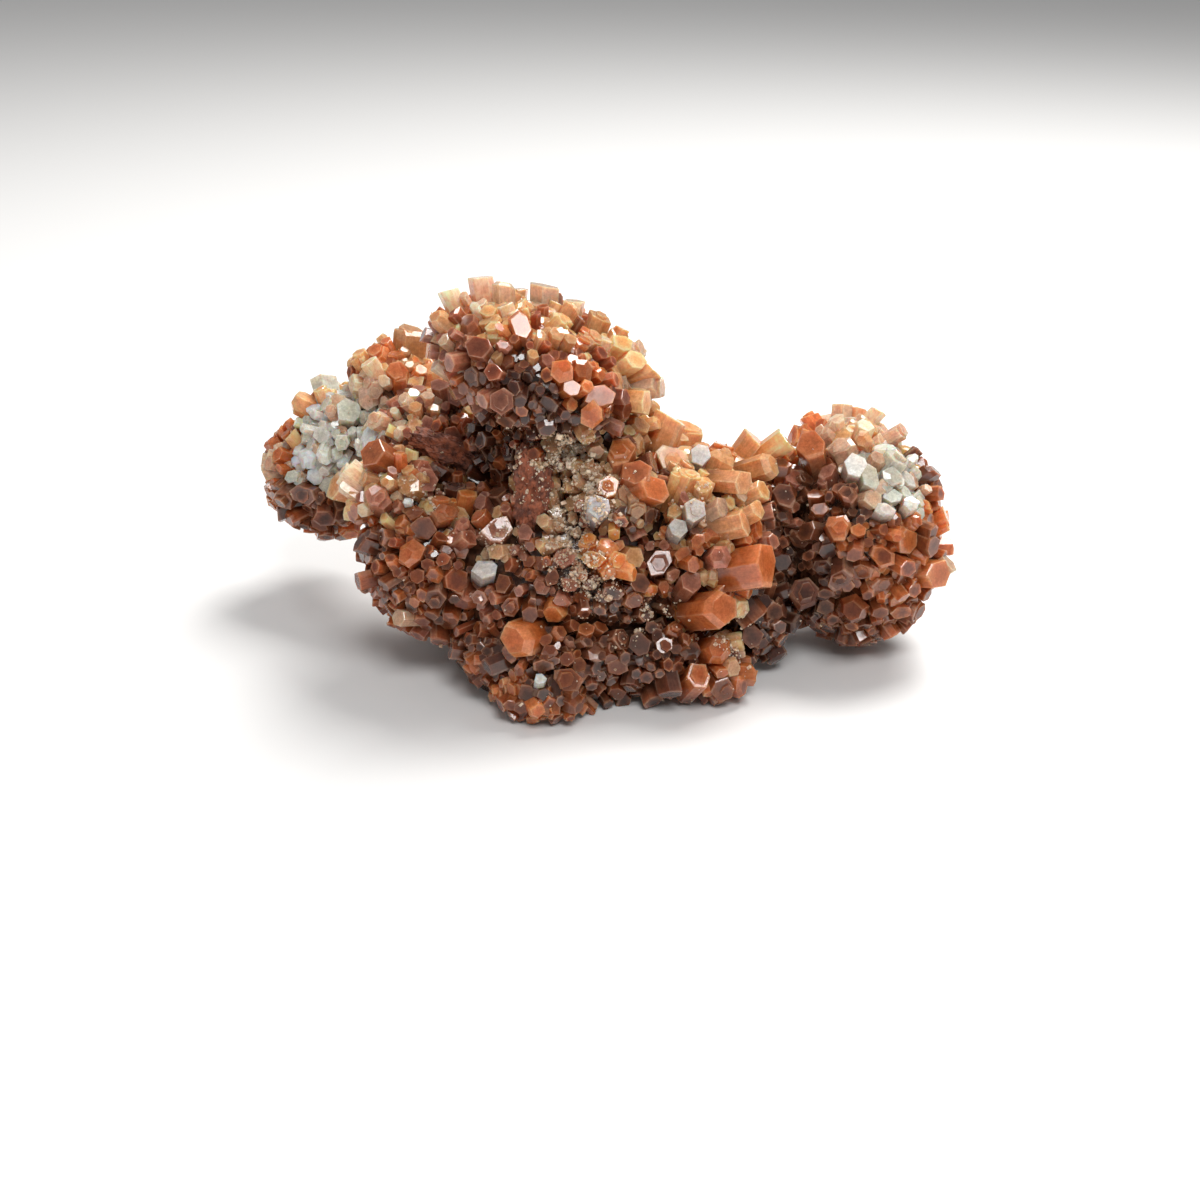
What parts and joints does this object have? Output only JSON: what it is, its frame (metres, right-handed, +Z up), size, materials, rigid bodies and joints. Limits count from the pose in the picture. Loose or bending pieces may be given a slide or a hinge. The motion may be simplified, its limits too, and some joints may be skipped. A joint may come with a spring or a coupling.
{
  "type": "aragonite crystal cluster",
  "caption": "Natural cluster of brown and honey six-sided crystals grown in rounded lobes, with a tall crown and a ball at each side, resting on a flat worn spot.",
  "frame": {"origin": "on the flat worn spot that the cluster rests on, near the middle of the main mass", "axes": "+Z up, +X along the cluster's length from the small hanging ball towards the large ball, +Y towards the back"},
  "size_m": [0.1075, 0.0628, 0.0589],
  "materials": {
    "aragonite": "glassy, translucent honey to red-brown prisms with pale grey-green patches"
  },
  "bodies": {
    "root": {"crystal_cluster": "aragonite"}
  },
  "joints": []
}
